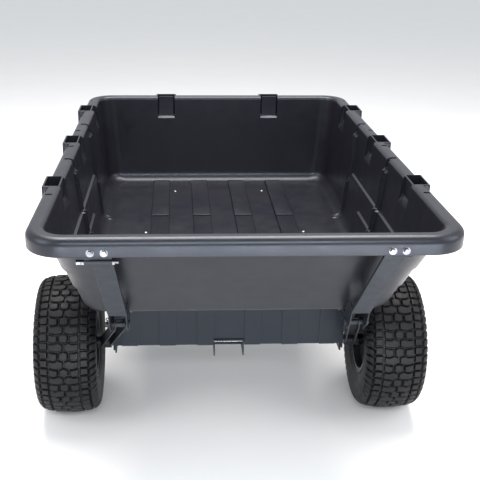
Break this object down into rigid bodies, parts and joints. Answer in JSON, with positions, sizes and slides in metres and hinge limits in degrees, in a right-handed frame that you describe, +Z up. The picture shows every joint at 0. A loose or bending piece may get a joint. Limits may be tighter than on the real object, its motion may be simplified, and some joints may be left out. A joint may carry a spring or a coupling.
{
  "type": "tow behind cart",
  "caption": "Two-wheeled tow-behind dump cart: a moulded tub with stake pockets tilts back on a steel chassis with a drawbar and clevis hitch.",
  "frame": {"origin": "on the ground, at the centre of the cart's plan outline", "axes": "+X to the cart's right seen from behind, +Y forward to the tow end, +Z up"},
  "size_m": [1.266, 2.2376, 0.874],
  "materials": {
    "tub_plastic": "moulded satin",
    "tyre": "matte rubber",
    "rubber": "matte",
    "cap_plastic": "satin",
    "rim_steel": "gloss black paint",
    "bearing_steel": "ground",
    "grey_steel": "powder coat",
    "zinc": "bright zinc plate",
    "black_steel": "powder coat"
  },
  "bodies": {
    "chassis": {"pivot_washers": "black_steel", "left_leg": "black_steel", "right_leg": "black_steel", "cross_panel": "grey_steel", "rest_pads": "rubber", "axle": "zinc", "drawbar": "grey_steel", "left_brace": "black_steel", "right_brace": "black_steel", "brace_bolts": "zinc", "brace_nuts": "zinc", "front_post": "grey_steel", "post_pad": "rubber", "post_bolts": "zinc", "post_nuts": "zinc", "hitch_clevis": "black_steel", "hitch_bolts": "zinc", "hitch_nuts": "zinc", "latch_bolt": "zinc", "latch_nut": "zinc", "axle_nuts": "zinc", "axle_spacers": "zinc", "axle_washers": "zinc", "axle_cotters": "zinc"},
    "tub": {"tub_shell": "tub_plastic", "left_strap": "grey_steel", "right_strap": "grey_steel", "strap_bolts": "zinc", "strap_nuts": "zinc", "rim_bracket_tube": "black_steel", "rim_bracket_bolt": "zinc", "rim_bracket_nuts": "zinc", "left_rail": "black_steel", "right_rail": "black_steel", "rear_cross_channel": "black_steel", "mid_cross_channel": "black_steel", "front_cross_channel": "black_steel", "floor_bolts": "zinc", "floor_nuts": "zinc", "rail_bolts": "zinc", "rail_nuts": "zinc", "strike_bar": "black_steel", "left_pivot_pin": "black_steel", "right_pivot_pin": "black_steel", "pivot_clips": "black_steel"},
    "left_wheel": {"left_tyre": "tyre", "left_rim": "rim_steel", "left_hub": "black_steel", "left_bearings": "bearing_steel", "left_hub_cap": "cap_plastic", "left_valve": "rubber"},
    "right_wheel": {"right_tyre": "tyre", "right_rim": "rim_steel", "right_hub": "black_steel", "right_bearings": "bearing_steel", "right_hub_cap": "cap_plastic", "right_valve": "rubber"},
    "latch": {"latch_lever": "grey_steel", "latch_grip": "rubber"}
  },
  "joints": [
    {"name": "tub_tilt", "type": "hinge", "parent": "chassis", "child": "tub", "pos_m": [0, -0.7962, 0.49], "axis": [1, 0, 0], "range_deg": [0, 80]},
    {"name": "left_wheel_spin", "type": "hinge", "parent": "chassis", "child": "left_wheel", "pos_m": [-0.531, -0.4112, 0.23], "axis": [1, 0, 0], "continuous": true},
    {"name": "right_wheel_spin", "type": "hinge", "parent": "chassis", "child": "right_wheel", "pos_m": [0.531, -0.4112, 0.23], "axis": [1, 0, 0], "continuous": true},
    {"name": "latch_swing", "type": "hinge", "parent": "chassis", "child": "latch", "pos_m": [0, 0.4358, 0.42], "axis": [1, 0, 0], "range_deg": [0, 35]}
  ]
}
